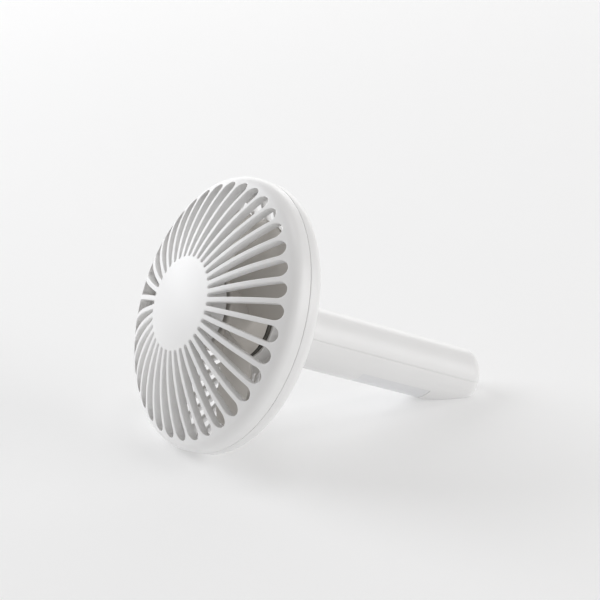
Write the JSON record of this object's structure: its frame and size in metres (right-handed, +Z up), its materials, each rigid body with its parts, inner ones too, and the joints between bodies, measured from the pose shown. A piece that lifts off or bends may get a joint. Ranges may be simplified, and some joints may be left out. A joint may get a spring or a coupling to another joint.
{
  "type": "handheld electric fan",
  "caption": "Handheld electric fan with a round radially slotted head on a straight battery handle, lying on its rim and the bevelled foot of the handle.",
  "frame": {"origin": "on the table, under the middle of the fan as it lies on its rim and foot", "axes": "+Z up from the table; +X from the head towards the handle's end; the fan axis is tilted 23 degrees, its front facing -X and up"},
  "size_m": [0.1456, 0.1094, 0.1036],
  "materials": {
    "shell_plastic": "fine satin, white",
    "impeller_plastic": "satin, white",
    "button_plastic": "satin, white",
    "clear_plastic": "clear light guide",
    "steel": "zinc plated",
    "dark_steel": "phosphated, dull",
    "ground_steel": "ground bright",
    "magnet": "bonded ferrite, matt",
    "lamination": "stamped sheet, dull",
    "copper": "enamelled copper wire",
    "brass": "turned",
    "board": "green solder mask",
    "component": "moulded black",
    "switch_metal": "tinned",
    "battery": "shrink-wrapped can",
    "nickel": "nickel strip",
    "foam": "closed-cell foam",
    "wire_insulation": "coloured insulation",
    "washer": "polymer",
    "label": "printed film",
    "led": "moulded lens"
  },
  "bodies": {
    "fan_body": {"front_grille": "shell_plastic", "rear_shell": "shell_plastic", "stator_core": "lamination", "stator_windings": "copper", "bearing_tube": "brass", "front_bush": "brass", "rear_bush": "brass", "motor_base": "dark_steel", "motor_board": "board", "motor_screws": "steel", "handle_upper": "shell_plastic", "handle_lower": "shell_plastic", "case_screws": "steel", "battery_cell": "battery", "battery_tabs": "nickel", "battery_pads": "foam", "main_board": "board", "board_components": "component", "tact_switch": "switch_metal", "status_led": "led", "led_window": "clear_plastic", "charge_board": "board", "charge_components": "component", "usb_socket": "switch_metal", "battery_wires": "wire_insulation", "charge_wires": "wire_insulation", "motor_wires": "wire_insulation", "rating_label": "label"},
    "impeller": {"impeller": "impeller_plastic", "rotor_cup": "steel", "magnet_ring": "magnet", "motor_shaft": "ground_steel", "shaft_clip": "ground_steel", "thrust_washer": "washer"},
    "power_button": {"power_button": "button_plastic", "switch_plunger": "component"}
  },
  "joints": [
    {"name": "impeller_spin", "type": "hinge", "parent": "fan_body", "child": "impeller", "pos_m": [-0.046, 0, 0.05262], "axis": [0.9205, 0, -0.3907], "continuous": true},
    {"name": "button_press", "type": "slide", "parent": "fan_body", "child": "power_button", "axis": [-0.3907, 0, -0.9205], "range_m": [0, 0.0005], "stiffness_N_per_m": 800}
  ]
}
